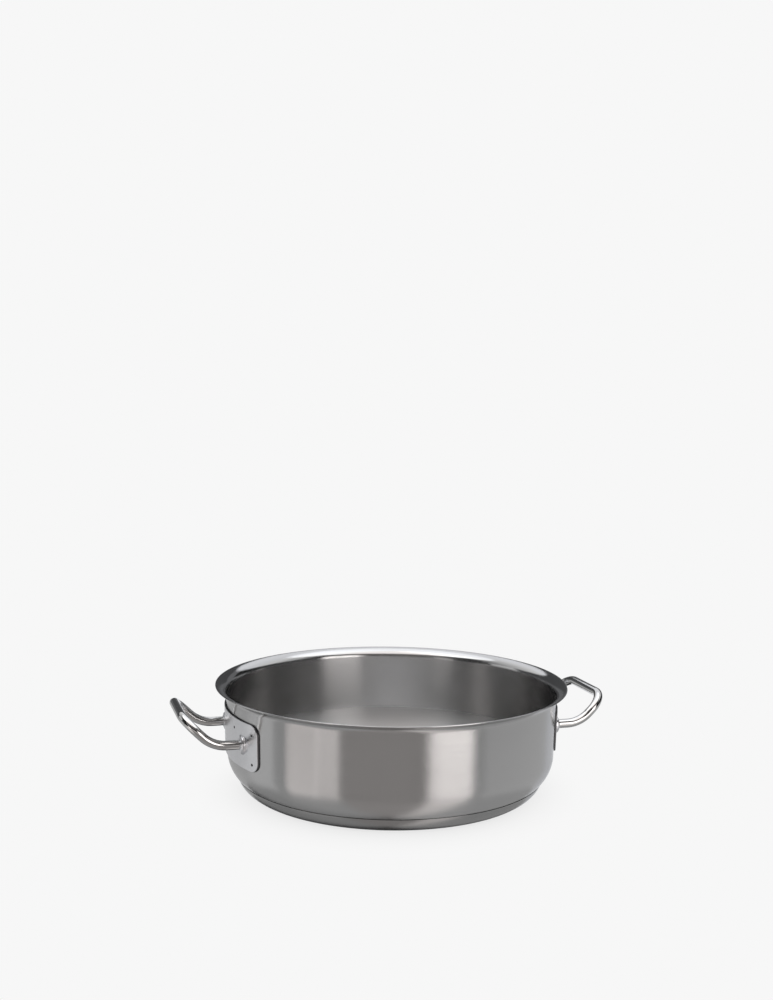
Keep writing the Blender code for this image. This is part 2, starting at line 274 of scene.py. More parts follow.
def turning_tree():
    """Turns a section once round Z, with a UV map of the turn and the distance along it."""
    graph, section = new_geometry_tree("Turned piece", Turns="Int")
    turns = section.other("Turns")
    mesh = {"component": "MESH"}
    rows = graph.add("GeometryNodeAttributeDomainSize", mesh, {"Geometry": section})
    last_row = rows - 1.0
    size = {"Size X": turns, "Size Y": last_row, "Vertices X": turns + 1.0, "Vertices Y": rows}
    sheet = graph.add("GeometryNodeMeshGrid", None, size)
    place = graph.add("GeometryNodeInputPosition")
    spot = graph.split(place)
    column = (spot + turns * 0.5).rounded()
    row = (spot.other("Y") + last_row * 0.5).rounded()

    def of_row(kind, value):
        """Value that the section has at this row's point."""
        settings = {"data_type": kind, "domain": "POINT"}
        values = {"Geometry": section, "Value": value, "Index": row}
        return graph.add("GeometryNodeSampleIndex", settings, values)

    profile = graph.split(of_row("FLOAT_VECTOR", place))
    distance = graph.add("GeometryNodeInputNamedAttribute", {"data_type": "FLOAT"}, {"Name": "run"})
    unrolled = graph.vector(column / turns, of_row("FLOAT", distance), 0.0)
    settings = {"data_type": "FLOAT2", "domain": "CORNER"}
    values = {"Geometry": sheet, "Name": "UVMap", "Value": unrolled}
    mapped = graph.add("GeometryNodeStoreNamedAttribute", settings, values)
    angle = column / turns * tau
    where = graph.vector(profile * angle.cosine(), profile * angle.sine(), profile.other("Z"))
    laid = graph.add("GeometryNodeSetPosition", None, {"Geometry": mapped, "Position": where})
    joined = graph.add("GeometryNodeMergeByDistance", None, {"Geometry": laid, "Distance": 2e-6})
    return end_tree(graph, joined, section)


def rod_tree():
    """Round rod along a path, with flat closed ends."""
    graph, path = new_geometry_tree("Round rod", Radius="Float", Sides="Int")
    line = graph.add("GeometryNodeMeshToCurve", None, {"Mesh": path})
    size = {"Resolution": path.other("Sides"), "Radius": path.other("Radius")}
    ring = graph.add("GeometryNodeCurvePrimitiveCircle", {"mode": "RADIUS"}, size)
    values = {"Curve": line, "Profile Curve": ring, "Fill Caps": True}
    rod = graph.add("GeometryNodeCurveToMesh", None, values)
    return end_tree(graph, rod, path)


def weld_tree():
    """Small domed mark on every point, facing along the point's own direction."""
    graph, spots = new_geometry_tree("Spot welds", Radius="Float", Height="Float")
    counts = {"Segments": MARK_SEGMENTS, "Rings": MARK_RINGS, "Radius": 1.0}
    ball = graph.add("GeometryNodeMeshUVSphere", None, counts)
    shape = graph.vector(spots.other("Radius"), spots.other("Radius"), spots.other("Height"))
    dome = graph.add("GeometryNodeTransform", None, {"Geometry": ball, "Scale": shape})
    attribute = {"data_type": "FLOAT_VECTOR"}
    facing = graph.add("GeometryNodeInputNamedAttribute", attribute, {"Name": "facing"})
    turn = graph.add("FunctionNodeAlignRotationToVector", {"axis": "Z"}, {"Vector": facing})
    points = graph.add("GeometryNodeMeshToPoints", None, {"Mesh": spots})
    values = {"Points": points, "Instance": dome, "Rotation": turn}
    return end_tree(graph, graph.add("GeometryNodeInstanceOnPoints", None, values), spots)


# Meshes and objects

SHARP_ANGLE = radians(50.0)


def add_object(name, data):
    item = bpy.data.objects.new(name, data)
    bpy.context.scene.collection.objects.link(item)
    return item


def made_by_tree(name, mesh, tree, values):
    """Plain mesh that a geometry tree makes from another mesh."""
    starter = add_object(name + "_start", mesh)
    modifier = starter.modifiers.new("tree", "NODES")
    modifier.node_group = tree
    for item in tree.interface.items_tree:
        if item.in_out == "INPUT" and item.name in values:
            modifier[item.identifier] = values[item.name]
    bpy.context.view_layer.update()
    graph = bpy.context.evaluated_depsgraph_get()
    result = bpy.data.meshes.new_from_object(starter.evaluated_get(graph))
    bpy.data.objects.remove(starter, do_unlink=True)
    result.name = name
    return result


def face_outwards(mesh, merge=0.000001):
    """Joins doubles, turns every face of a closed mesh outwards and shades it smooth."""
    work = bmesh.new()
    work.from_mesh(mesh)
    bmesh.ops.remove_doubles(work, verts=work.verts, dist=merge)
    bmesh.ops.recalc_face_normals(work, faces=work.faces)
    open_edges = [edge for edge in work.edges if len(edge.link_faces) != 2]
    if open_edges:
        raise RuntimeError(f"{mesh.name} is open at {len(open_edges)} edges")
    work.to_mesh(mesh)
    work.free()
    mesh.shade_smooth()


def show_piece(name, mesh, nodes):
    """Shows a finished piece that rides on the body and stands for CAD nodes."""
    item = add_object(name, mesh)
    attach(item, BODY)
    if nodes:
        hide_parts(*nodes)


def show_handle_part(side, part, mesh):
    """Shows a part of a handle, made on the +X side, on its own side of the pan."""
    face_outwards(mesh)
    mesh.set_sharp_from_angle(angle=SHARP_ANGLE)
    if side == "left":
        mesh.transform(Matrix.Rotation(pi, 4, "Z"))
    show_piece(f"{side}_{part}", mesh, [f"{side}_handle_{part}"])


def runs(points):
    """Distances of a line's points from its first one, along the line."""
    result = [0.0]
    for start, end in zip(points, points[1:]):
        result.append(result[-1] + dist(start, end))
    return result


def polyline(name, points):
    mesh = bpy.data.meshes.new(name)
    mesh.from_pydata(points, [(index, index + 1) for index in range(len(points) - 1)], [])
    return mesh


def show_turned_piece(name, node, section, turns, steel):
    """Shows a piece that is a section turned round Z."""
    points = [(radius, 0.0, height) for radius, height in section]
    start = polyline(name + "_section", points)
    start.attributes.new("run", "FLOAT", "POINT").data.foreach_set("value", runs(points))
    mesh = made_by_tree(name, start, turning_tree(), {"Turns": turns, "Steel": steel})
    face_outwards(mesh)
    show_piece(name, mesh, [node])


# Lines in a plane

SMOOTHING_STEP = 0.0001


def on_line(start, end, share):
    return (start[0] + (end[0] - start[0]) * share, start[1] + (end[1] - start[1]) * share)


def on_circle(centre, radius, turn):
    return (centre[0] + radius * cos(turn), centre[1] + radius * sin(turn))


def direction(start, end):
    """Step of length 1 from one point towards another."""
    length = dist(start, end)
    return ((end[0] - start[0]) / length, (end[1] - start[1]) / length)


def moved(point, along, ahead, left):
    """Point moved ahead along a direction and to its left."""
    return (
        point[0] + along[0] * ahead - along[1] * left,
        point[1] + along[1] * ahead + along[0] * left,
    )


def arc(centre, radius, start, end, count):
    """Points of an arc between two angles in degrees, both ends included."""
    angles = [start + (end - start) * index / count for index in range(count + 1)]
    return [on_circle(centre, radius, radians(angle)) for angle in angles]


def spaced(start, end, step):
    """Evenly spaced points from one point to another, without the last one."""
    count = max(1, ceil(dist(start, end) / step))
    return [on_line(start, end, index / count) for index in range(count)]


def sheet_section(middle, thickness, tip_steps):
    """Outline of a sheet of even thickness along a line from the axis to a rounded end."""
    half = thickness / 2.0
    upper, lower = [], []
    for index, point in enumerate(middle):
        along = direction(middle[max(index - 1, 0)], middle[min(index + 1, len(middle) - 1)])
        upper.append(moved(point, along, 0.0, half))
        lower.append(moved(point, along, 0.0, -half))
    ahead = direction(middle[-2], middle[-1])
    turns = [pi * step / tip_steps for step in range(1, tip_steps)]
    tip = [moved(middle[-1], ahead, half * sin(turn), half * cos(turn)) for turn in turns]
    return upper + tip + lower[::-1]


def circles_meeting(one, one_radius, two, two_radius):
    """The point farther from the axis of the two in which two circles meet."""
    apart = dist(one, two)
    run = (apart ** 2 + one_radius ** 2 - two_radius ** 2) / (2.0 * apart)
    aside = sqrt(one_radius ** 2 - run ** 2)
    return max(moved(one, direction(one, two), run, left) for left in (aside, -aside))


def smoothed(points, width, still=0.0):
    """Line with its corners rounded by averaging; its ends and what is nearer than still stay."""
    line = []
    for start, end in zip(points, points[1:]):
        line += spaced(start, end, SMOOTHING_STEP)
    line.append(points[-1])
    reach = max(1, int(width / SMOOTHING_STEP))
    result = []
    for index, point in enumerate(line):
        room = min(reach, index, len(line) - 1 - index)
        if point[0] < still or room < 1:
            result.append(point)
            continue
        weights = [1.0 - abs(shift) / (room + 1.0) for shift in range(-room, room + 1)]
        near = list(zip(line[index - room:index + room + 1], weights))
        across, upward = (sum(spot[axis] * weight for spot, weight in near) for axis in (0, 1))
        result.append((across / sum(weights), upward / sum(weights)))
    return result


def resampled(points, count):
    """The same line with evenly spaced points."""
    along = runs(points)
    result = []
    at = 0
    for index in range(count + 1):
        target = along[-1] * index / count
        while at < len(along) - 2 and along[at + 1] < target:
            at += 1
        share = (target - along[at]) / max(1e-12, along[at + 1] - along[at])
        result.append(on_line(points[at], points[at + 1], share))
    return result


def rounded_rectangle(half_width, half_height, corner, spacing, corner_steps):
    """Closed outline, counterclockwise, with even spacing on its straight sides."""
    corner = max(corner, 1e-5)
    corners = []
    for start, side, level in ((0.0, 1, 1), (90.0, -1, 1), (180.0, -1, -1), (270.0, 1, -1)):
        centre = (side * (half_width - corner), level * (half_height - corner))
        corners.append(arc(centre, corner, start, start + 90.0, corner_steps))
    points = []
    for turned, following in zip(corners, corners[1:] + corners[:1]):
        begin, end = turned[-1], following[0]
        count = max(1, round(dist(begin, end) / spacing))
        points += turned + [on_line(begin, end, step / count) for step in range(1, count)]
    return points


def within(point, loop):
    """Whether a point lies inside a closed outline."""
    inside = False
    for (ax, ay), (bx, by) in zip(loop, loop[1:] + loop[:1]):
        if (ay > point.y) != (by > point.y):
            if point.x < (bx - ax) * (point.y - ay) / (by - ay) + ax:
                inside = not inside
    return inside


# Settings

def number(name, text, value, low=0.0, high=1.0, **more):
    return bpy.props.FloatProperty(
        name=name, description=text, default=value, min=low, max=high, **more
    )


def length(name, text, value):
    kind = {"subtype": "DISTANCE", "unit": "LENGTH", "precision": 5}
    return number(name, text, value, high=10.0, **kind)


def angle(name, text, degrees):
    kind = {"subtype": "ANGLE", "unit": "ROTATION"}
    return number(name, text, radians(degrees), -pi, pi, **kind)


def colour(name, text, value):
    kind = {"min": 0.0, "max": 1.0, "size": 3, "subtype": "COLOR"}
    return bpy.props.FloatVectorProperty(name=name, description=text, default=value, **kind)


class PanSettings(bpy.types.PropertyGroup):
    """Sizes and finish of the pan's shell."""

    radius: length("Radius", "Outer radius of the wall", 0.1410)
    height: length("Height", "From the table to the rim", 0.09317)
    thickness: length("Sheet", "Thickness of the sheet", 0.0010)
    floor: length("Floor", "Underside of the floor above the table", 0.0056)
    corner: length("Corner", "Outer radius between floor and wall", 0.0290)
    flare_out: length("Flare out", "How far the rim stands out", 0.00912)
    flare_rise: length("Flare rise", "Height of the flare", 0.0078)
    flare_turn: angle("Flare turn", "Turn of the rim outwards", 78.0)
    turns: bpy.props.IntProperty(name="Steps", description="Steps of one turn", default=256, min=24)
    steel: colour("Steel", "Colour of the brushed steel", (0.60, 0.60, 0.60))
    roughness: number("Roughness", "Roughness of the brushed steel", 0.21)
    lip_roughness: number("Lip roughness", "Roughness of the polished rim", 0.10)
    satin_roughness: number("Satin roughness", "Roughness of the satin inside", 0.42)
    satin_end: length("Satin end", "Where the satin inside ends", 0.162)
    stretch: number("Stretch", "Stretch of the highlights", 1.0)


class BaseSettings(bpy.types.PropertyGroup):
    """Sizes and finish of the layered base."""

    inside: length("Inside", "How far the cap stays inside the wall", 0.0078)
    thickness: length("Sheet", "Thickness of the cap", 0.0008)
    edge: length("Edge", "Outer radius of the cap's edge", 0.0185)
    groove: length("Groove", "Gap between the cap and the shell", 0.0003)
    rounding: length("Rounding", "Rounding of the cap's upper edge", 0.0004)
    # The cap's steel is set darker than the shell's: partly its own steel colour, partly painted
    # shade low by the floor
    steel: colour("Steel", "Colour of the cap's steel", (0.45, 0.45, 0.45))
    roughness: number("Roughness", "Roughness of the cap's steel", 0.20)


class HandleSettings(bpy.types.PropertyGroup):
    """Sizes and finish of the handles."""

    plate_inner: length("Plate inside", "Radius of the plate's inner face", 0.1413)
    plate_sheet: length("Plate sheet", "Thickness of the plate", 0.0014)
    plate_half: length("Plate half width", "Half the plate's width across", 0.06095)
    plate_height: length("Plate height", "Height of the plate", 0.03918)
    plate_corner: length("Plate corner", "Corner radius of the plate", 0.0090)
    plate_centre: length("Plate centre", "Height of the plate's middle", 0.05675)
    plate_edge: length("Plate edge", "Rounding of the plate's outer edge", 0.00045)
    boss_radius: length("Boss radius", "Outer radius of a boss", 0.0080)
    boss_reach: length("Boss reach", "How far a boss stands out", 0.0022)
    boss_fillet: length("Boss fillet", "Rounding round a boss", 0.0009)
    socket_wall: length("Socket wall", "Thickness of a boss round its socket", 0.0011)
    socket_depth: length("Socket depth", "Depth of the socket", 0.0016)
    bar_radius: length("Bar radius", "Radius of the round bar", 0.0039)
    leg_height: length("Leg height", "Height of the bar's legs", 0.05675)
    leg_spacing: length("Leg spacing", "Half the distance between the legs", 0.0386)
    bend_beyond: length("Bend", "Where the legs bend up, beyond the wall", 0.0197)
    reach_beyond: length("Reach", "How far the bar stands out from the wall", 0.04198)
    bar_rise: length("Rise", "How far the bar rises above its legs", 0.02245)
    rise_bend: length("Rise bend", "Radius of the upward bends", 0.0271)
    corner_bend: length("Corner bend", "Radius of the bends at the corners", 0.0172)
    play: length("Play", "Gap between neighbouring pieces", 0.0003)
    plate_steel: colour("Plate steel", "Colour of the plates", (0.84, 0.845, 0.87))
    plate_roughness: number("Plate roughness", "Roughness of the plates", 0.26)
    # The plates' edges are near-black steel: painted shade for the dark line of shadow round each
    # plate's outline
    edge_painted_shade: colour("Edge steel", "Colour of the plates' edges", (0.13, 0.13, 0.135))
    edge_roughness: number("Edge roughness", "Roughness of the plates' edges", 0.42)
    bar_steel: colour("Bar steel", "Colour of the bars", (0.66, 0.66, 0.655))
    bar_roughness: number("Bar roughness", "Roughness of the bars", 0.10)


class WeldSettings(bpy.types.PropertyGroup):
    """Spot welds in the plates."""

    outer_offset: length("Outer offset", "Outer welds from the middle", 0.0538)
    inner_offset: length("Inner offset", "Inner welds from the middle", 0.0237)
    above: length("Above", "Upper welds above the legs", 0.0109)
    below: length("Below", "Lower welds below the legs", 0.0133)
    pit_radius: length("Pit radius", "Radius of the shallow pit", 0.0019)
    pit_depth: length("Pit depth", "Depth of the shallow pit", 0.00035)
    mark_radius: length("Mark radius", "Radius of the scorched mark", 0.0013)
    mark_height: length("Mark height", "Height of the scorched mark", 0.00018)
    mark_sink: number("Mark sink", "Mark's place as a share of the pit's depth", 0.4)


class StageSettings(bpy.types.PropertyGroup):
    """Floor, lights and camera."""

    background: number("Background", "Brightness of the background", 0.93)
    lens: number("Lens", "Focal length in millimetres", 44.688, low=1.0, high=1000.0)
    shift_x: number("Shift across", "Sideways shift of the picture", -0.004147, low=-1.0)
    shift_y: number("Shift up", "Upward shift of the picture", 0.233620, low=-1.0)
    distance: length("Distance", "Camera to the middle of the pan", 1.0793)
    azimuth: angle("Azimuth", "Turn of the camera round the pan", -16.95)
    elevation: angle("Elevation", "Camera above the horizon", 15.462)
    roll: angle("Roll", "Turn of the camera's picture", 0.9)


# Pan

# Longest straight steps of the turned sections, and the steps of their arcs
FLOOR_STEP = 0.008
WALL_STEP = 0.006
CORNER_STEPS = 24
FLARE_STEPS = 28
TIP_STEPS = 10
CAP_EDGE_STEPS = 28
CAP_LIP_STEPS = 48
# Points at either end of the cap's upper edge that its rounding takes in
CAP_LIP_POINTS = 3


class PAN_OT_shell(bpy.types.Operator):
    """Make the drawn shell with its flared rim"""

    bl_idname = "pan.shell"
    bl_label = "Pan shell"

    def execute(self, context):
        pan = context.scene.pan_shell
        half = pan.thickness / 2.0
        radius = pan.radius - half
        bend = pan.corner - half
        bottom = pan.floor + half
        flare_start = pan.height - half - pan.flare_rise
        flare_width = pan.flare_out / (1.0 - cos(pan.flare_turn))
        flare_height = pan.flare_rise / sin(pan.flare_turn)
        middle = spaced((0.0, bottom), (radius - bend, bottom), FLOOR_STEP)
        middle += arc((radius - bend, bottom + bend), bend, -90.0, 0.0, CORNER_STEPS)
        middle += spaced(middle[-1], (radius, flare_start), WALL_STEP)[1:]
        for index in range(FLARE_STEPS + 1):
            turn = pan.flare_turn * index / FLARE_STEPS
            out = flare_width * (1.0 - cos(turn))
            middle.append((radius + out, flare_start + flare_height * sin(turn)))
        section = sheet_section(middle, pan.thickness, TIP_STEPS)
        steel = brushed_steel("pan_brushed_steel", pan, pan.stretch, zoned=True)
        show_turned_piece("pan_shell", "pan_body", section, pan.turns, steel)
        return {"FINISHED"}


class PAN_OT_base(bpy.types.Operator):
    """Make the cap of the base and finish the layer inside it"""

    bl_idname = "pan.base"
    bl_label = "Base"

    def execute(self, context):
        base, pan = context.scene.pan_base, context.scene.pan_shell
        centre = (pan.radius - base.inside - base.edge, base.edge)
        shell_centre = (pan.radius - pan.corner, pan.floor + pan.corner)
        clear = pan.corner + base.groove

        def edge_arc(radius):
            """Arc from straight below the cap's centre round to the groove."""
            top = circles_meeting(centre, radius, shell_centre, clear)
            turn = degrees(atan2(top[1] - centre[1], top[0] - centre[0]))
            return arc(centre, radius, -90.0, turn, CAP_EDGE_STEPS)

        inner, outer = edge_arc(base.edge - base.thickness), edge_arc(base.edge)[::-1]
        sharp_lip = inner[-CAP_LIP_POINTS:] + outer[:CAP_LIP_POINTS]
        section = spaced((0.0, base.thickness), inner[0], FLOOR_STEP) + inner[:-CAP_LIP_POINTS]
        section += resampled(smoothed(sharp_lip, base.rounding), CAP_LIP_STEPS)
        section += outer[CAP_LIP_POINTS:]
        section += spaced(outer[-1], (0.0, 0.0), FLOOR_STEP)[1:] + [(0.0, 0.0)]
        # The cap's darker steel colour is partly painted shade by the floor
        steel = brushed_steel("base_brushed_steel", base, pan.stretch)
        show_turned_piece("base_shell", "base_cap", section, pan.turns, steel)
        aluminium = rolled_aluminium("core_rolled_aluminium")
        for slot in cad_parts["base_core"].material_slots:
            slot.material = aluminium
        return {"FINISHED"}


# Handle plates

# Turns and rows of the finished faces
BOSS_TURNS, SOCKET_ROWS, BOSS_ROWS = 72, 22, 44
PIT_TURNS, PIT_ROWS = 24, 8
# Rows of the plate's rounded edge, and the row from which the edge is painted near-black as shade
# along its outline
EDGE_ROWS, PAINTED_SHADE_ROW = 8, 7
# Steps of a boss's dome and of the strip round it, which reaches so many fillets beyond it
DOME_STEPS, STRIP_STEPS, STRIP_REACH = 40, 24, 2.6
OUTLINE_STEP, OUTLINE_CORNER_STEPS = 0.0012, 12
# Small step at a boss's end, the rounding inside it, and the power of a pit's slope
BOSS_CUT, SOCKET_ROUNDING, PIT_POWER = 0.0003, 0.00025, 1.2
# Even strip between the plate's rounded edge and its triangles
SUPPORT = 0.0004
# Steps of the triangles' grids across and up, and the room they leave to what is round them
OUTER_GRID, INNER_GRID = (0.0014, 0.0024), (0.0028, 0.0096)
GRID_INSET, GRID_ROOM = 0.0016, 0.0008
BOSS_ROOM, PIT_ROOM = 0.0005, 0.0004
# Steels of the plate's face and of its edge, whose near-black is painted shade
FACE_STEEL, PAINTED_SHADE_STEEL = 0, 1


def plate_face(handle, across):
    """How far out the outer face of the plate lies."""
    return sqrt((handle.plate_inner + handle.plate_sheet) ** 2 - across ** 2)


def boss_end(handle):
    """How far out the bosses end."""
    return plate_face(handle, handle.leg_spacing) + handle.boss_reach


def weld_spots(welds, scorched_only=False):
    """A plate's spot welds, across and up from its legs; the lower inner ones aren't scorched."""
    rises = (welds.above, -welds.below)
    inner_rises = rises[:1] if scorched_only else rises
    outer = [(side * welds.outer_offset, rise) for side in SIDES for rise in rises]
    return outer + [(side * welds.inner_offset, rise) for rise in inner_rises for side in SIDES]


class PlateShape:
    """Curved plate with two bosses and weld pits: its faces, in the steel set at the time."""

    def __init__(self, handle, welds):
        self.handle = handle
        self.welds = welds
        self.boss_end = boss_end(handle)
        self.socket = handle.bar_radius + handle.play
        self.strip_end = handle.boss_radius + STRIP_REACH * handle.boss_fillet
        self.work = bmesh.new()
        self.steel = FACE_STEEL

    def outer_face(self, across):
        return plate_face(self.handle, across)

    def inner_face(self, across):
        return sqrt(self.handle.plate_inner ** 2 - across ** 2)

    def face(self, points):
        made = self.work.faces.new([self.work.verts.new(point) for point in points])
        made.material_index = self.steel

    def bands(self, rings):
        """Faces between closed rings with the same count of points."""
        for one, two in zip(rings, rings[1:]):
            for index in range(len(one)):
                following = (index + 1) % len(one)
                self.face([one[index], one[following], two[following], two[index]])

    def add_round(self, across, upward, turns, section):
        """Makes what has this section round an axis and gives the ring at which it ends."""
        angles = [tau * index / turns for index in range(turns)]
        rings = list(zip(*(
            [(height, *on_circle((across, upward), out, turn)) for out, height in section(turn)]
            for turn in angles
        )))
        self.bands(rings)
        return [point[1:] for point in rings[-1]]

    def boss_line(self, across, turn):
        """Section of a boss from its axis to the plate, in one direction: out and up."""
        handle = self.handle
        floor = self.boss_end - handle.socket_depth - handle.play
        tip = self.socket + handle.socket_wall

        def plate_at(out):
            return self.outer_face(across + out * cos(turn))

        line = [(0.0, floor), (self.socket, floor), (self.socket, self.boss_end)]
        line.append((tip - BOSS_CUT, self.boss_end))
        dome = []
        for step in range(DOME_STEPS, -1, -1):
            angle = pi / 2.0 * step / DOME_STEPS
            out = handle.boss_radius - (handle.boss_radius - tip) * (1.0 - cos(angle))
            drop = handle.boss_reach * (1.0 - sin(angle))
            dome.append((out, self.boss_end - BOSS_CUT - drop))
        line.append(dome[0])
        for start, end in zip(dome, dome[1:]):
            gap_start = start[1] - plate_at(start[0])
            gap_end = end[1] - plate_at(end[0])
            if gap_end < 0.0:
                meet, _ = on_line(start, end, gap_start / (gap_start - gap_end))
                line.append((meet, plate_at(meet)))
                break
            line.append(end)
        else:
            line.append((handle.boss_radius, plate_at(handle.boss_radius)))
        last = line[-1][0]
        for step in range(1, STRIP_STEPS + 1):
            out = last + (self.strip_end - last) * step / STRIP_STEPS
            line.append((out, plate_at(out)))
        return line

    def add_boss(self, across, upward):
        def section(turn):
            line = self.boss_line(across, turn)
            inner = smoothed(line[:4], SOCKET_ROUNDING, still=self.socket * 0.5)
            outer = smoothed(line[3:], self.handle.boss_fillet)
            return resampled(inner, SOCKET_ROWS) + resampled(outer, BOSS_ROWS)[1:]

        return self.add_round(across, upward, BOSS_TURNS, section)

    def add_pit(self, across, upward):
        def section(turn):
            line = []
            for step in range(PIT_ROWS + 1):
                out = self.welds.pit_radius * step / PIT_ROWS
                share = (0.5 + 0.5 * cos(pi * step / PIT_ROWS)) ** PIT_POWER
                face = self.outer_face(across + out * cos(turn))
                line.append((out, face - self.welds.pit_depth * share))
            return line

        return self.add_round(across, upward, PIT_TURNS, section)

    def outline(self, inset):
        """The plate's outline, drawn in by an inset."""
        handle = self.handle
        flat = rounded_rectangle(
            handle.plate_half - inset, handle.plate_height / 2.0 - inset,
            handle.plate_corner - inset, OUTLINE_STEP, OUTLINE_CORNER_STEPS,
        )
        return [(across, upward + handle.plate_centre) for across, upward in flat]

    def fill(self, face_at, outline, holes, step_across, step_up):
        """Triangles on an even grid between an outline and holes.

        Each hole has its ring, its middle and the radius that the grid leaves free.
        """
        handle = self.handle
        border, edges = [], []
        for loop in [outline] + [ring for ring, _, _ in holes]:
            first, count = len(border), len(loop)
            border += [Vector(point) for point in loop]
            edges += [(first + index, first + (index + 1) % count) for index in range(count)]
        points = list(border)
        corner, half_width = handle.plate_corner, handle.plate_half
        half_height = handle.plate_height / 2.0
        across_count, up_count = int(half_width / step_across), int(half_height / step_up)
        for column in range(-across_count, across_count + 1):
            for row in range(-up_count, up_count + 1):
                side, level = column * step_across, row * step_up
                past_side = max(0.0, abs(side) - (half_width - corner))
                past_level = max(0.0, abs(level) - (half_height - corner))
                spot = Vector((side, level + handle.plate_centre))
                free = hypot(past_side, past_level) <= corner - GRID_INSET
                free = free and all((spot - middle).length >= room for _, middle, room in holes)
                if free and all((spot - place).length >= GRID_ROOM for place in border):
                    points.append(spot)
        made, _, faces, _, _, _ = delaunay_2d_cdt(points, edges, [], 0, 1e-7)
        for face in faces:
            centre = sum((made[index] for index in face), Vector((0.0, 0.0))) / len(face)
            if within(centre, outline) and not any(within(centre, ring) for ring, _, _ in holes):
                self.face([(face_at(made[index].x), *made[index]) for index in face])

    def build(self, name):
        """Closed mesh of the plate on the +X side."""
        handle = self.handle
        holes = []
        for side in SIDES:
            middle = (handle.leg_spacing * side, handle.leg_height)
            clear = self.strip_end + BOSS_ROOM
            holes.append((self.add_boss(*middle), Vector(middle), clear))
        for across, rise in weld_spots(self.welds):
            middle = (across, handle.leg_height + rise)
            clear = self.welds.pit_radius + PIT_ROOM
            holes.append((self.add_pit(*middle), Vector(middle), clear))
        edge = handle.plate_edge
        self.fill(self.outer_face, self.outline(edge + SUPPORT), holes, *OUTER_GRID)

        def ring(inset, sink, face_at=self.outer_face):
            return [(face_at(side) - sink, side, level) for side, level in self.outline(inset)]

        rings = [ring(edge + SUPPORT, 0.0)]
        for step in range(EDGE_ROWS + 1):
            turn = pi / 2.0 * step / EDGE_ROWS
            rings.append(ring(edge * (1.0 - sin(turn)), edge * (1.0 - cos(turn))))
        rings.append(ring(0.0, 0.0, self.inner_face))
        self.bands(rings[:PAINTED_SHADE_ROW + 1])
        # The outer part of the rounded edge and the cut side take the near-black steel: painted
        # shade along the outline
        self.steel = PAINTED_SHADE_STEEL
        self.bands(rings[PAINTED_SHADE_ROW:])
        self.steel = FACE_STEEL
        self.fill(self.inner_face, self.outline(0.0), [], *INNER_GRID)
        mesh = bpy.data.meshes.new(name)
        self.work.to_mesh(mesh)
        self.work.free()
        return mesh


class PAN_OT_plates(bpy.types.Operator):
    """Make the two handle plates with their bosses"""

    bl_idname = "pan.plates"
    bl_label = "Handle plates"

    def execute(self, context):
        handle = context.scene.pan_handle
        steels = (
            polished_steel("plate_satin_steel", handle.plate_steel, handle.plate_roughness, 0.03),
            # This second steel is near-black: painted shade along the plates' edges
            polished_steel("plate_edge_painted_shade", handle.edge_painted_shade, handle.edge_roughness, 0.10),
        )
        for side in HANDLES:
            mesh = PlateShape(handle, context.scene.pan_welds).build(side + "_plate")
            for steel in steels:
                mesh.materials.append(steel)
            show_handle_part(side, "plate", mesh)
        return {"FINISHED"}


# Handle bars

BEND_STEPS = 18
BAR_SIDES = 48


def rounded_path(corners, radii, count):
    """Straight runs through corners, each inner corner rounded to its own radius."""
    path = [corners[0]]
    for before, corner, after, radius in zip(corners, corners[1:], corners[2:], radii):
        back, ahead = (before - corner).normalized(), (after - corner).normalized()
        opening = back.angle(ahead)
        run = radius / tan(opening / 2.0)
        centre = corner + (back + ahead).normalized() * (radius / sin(opening / 2.0))
        first = corner + back * run - centre
        second = corner + ahead * run - centre
        sweep = pi - opening
        for step in range(count + 1):
            turn = sweep * step / count
            path.append(centre + (first * sin(sweep - turn) + second * sin(turn)) / sin(sweep))
    path.append(corners[-1])
    return path


class PAN_OT_bars(bpy.types.Operator):
    """Make the two bent round bars"""

    bl_idname = "pan.bars"
    bl_label = "Handle bars"

    def execute(self, context):
        handle = context.scene.pan_handle
        wall = context.scene.pan_shell.radius
        offset, low = handle.leg_spacing, handle.leg_height
        near = [
            Vector((boss_end(handle) - handle.socket_depth, -offset, low)),
            Vector((wall + handle.bend_beyond, -offset, low)),
            Vector((wall + handle.reach_beyond, -offset, low + handle.bar_rise)),
        ]
        far = [Vector((point.x, -point.y, point.z)) for point in reversed(near)]
        radii = [handle.rise_bend, handle.corner_bend, handle.corner_bend, handle.rise_bend]
        path = rounded_path(near + far, radii, BEND_STEPS)
        steel = polished_steel("bar_polished_steel", handle.bar_steel, handle.bar_roughness, 0.02)
        values = {"Radius": handle.bar_radius, "Sides": BAR_SIDES, "Steel": steel}
        for side in HANDLES:
            start = polyline(side + "_path", path)
            show_handle_part(side, "bar", made_by_tree(side + "_bar", start, rod_tree(), values))
        return {"FINISHED"}


class PAN_OT_welds(bpy.types.Operator):
    """Make the scorched marks in the pits of the spot welds"""

    bl_idname = "pan.welds"
    bl_label = "Spot welds"

    def execute(self, context):
        handle, welds = context.scene.pan_handle, context.scene.pan_welds
        points, directions = [], []
        for side in SIDES:
            for across, rise in weld_spots(welds, scorched_only=True):
                depth = plate_face(handle, across)
                facing = Vector((depth * side, across, 0.0)).normalized()
                sink = facing * (welds.pit_depth * welds.mark_sink)
                points.append(Vector((depth * side, across, handle.leg_height + rise)) - sink)
                directions.append(facing)
        start = bpy.data.meshes.new("weld_points")
        start.from_pydata(points, [], [])
        layer = start.attributes.new("facing", "FLOAT_VECTOR", "POINT")
        layer.data.foreach_set("vector", [part for facing in directions for part in facing])
        steel = scorched_steel("weld_scorched_steel")
        values = {"Radius": welds.mark_radius, "Height": welds.mark_height, "Steel": steel}
        mesh = made_by_tree("weld_marks", start, weld_tree(), values)
        face_outwards(mesh, merge=0.0000005)
        show_piece("weld_marks", mesh, [])
        return {"FINISHED"}


# Stage

